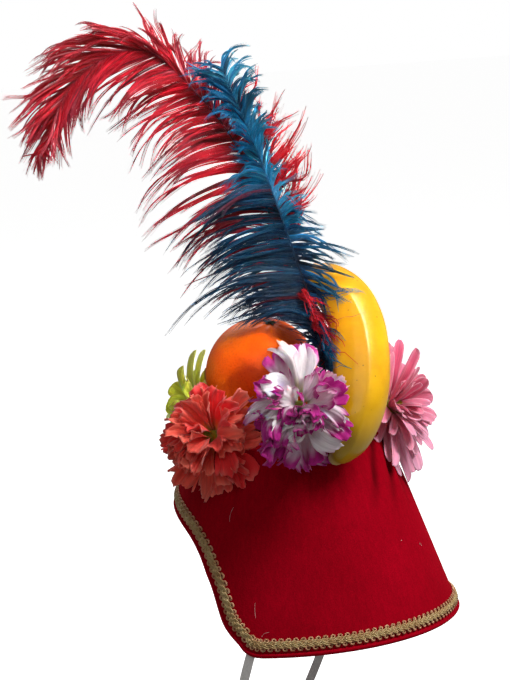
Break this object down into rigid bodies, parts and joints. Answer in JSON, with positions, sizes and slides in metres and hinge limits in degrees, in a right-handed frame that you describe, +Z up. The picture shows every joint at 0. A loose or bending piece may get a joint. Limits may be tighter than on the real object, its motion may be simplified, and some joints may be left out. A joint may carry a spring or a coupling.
{
  "type": "fruit hat",
  "caption": "Stiff velvet costume hat shaped as a truncated cone with an arched face edge, trimmed with braid and topped with fruit, silk flowers and two plumes, on a chin elastic.",
  "frame": {"origin": "middle of the head opening, in the plane of the lower edge", "axes": "+Z up, -Y toward the wearer's front, +X toward the wearer's left ear"},
  "size_m": [0.2078, 0.2484, 0.5091],
  "materials": {
    "velvet": "velvet pile",
    "gold_gimp": "metallic thread",
    "orange_peel": "satin, fine pores",
    "calyx_green": "matt",
    "banana_skin": "glossy",
    "coral_silk": "thin silk",
    "magenta_silk": "thin silk",
    "pink_silk": "thin silk",
    "green_silk": "thin silk",
    "red_ostrich": "feather barbs",
    "blue_ostrich": "feather barbs",
    "elastic": "ribbed, slightly translucent"
  },
  "bodies": {
    "root": {"crown": "velvet", "crown_tip": "velvet", "gold_braid": "gold_gimp", "orange": "orange_peel", "orange_calyx": "calyx_green", "banana": "banana_skin", "coral_carnation": "coral_silk", "magenta_carnation": "magenta_silk", "pink_mum": "pink_silk", "green_mum": "green_silk", "plume_red": "red_ostrich", "plume_blue": "blue_ostrich", "chin_strap": "elastic"}
  },
  "joints": []
}
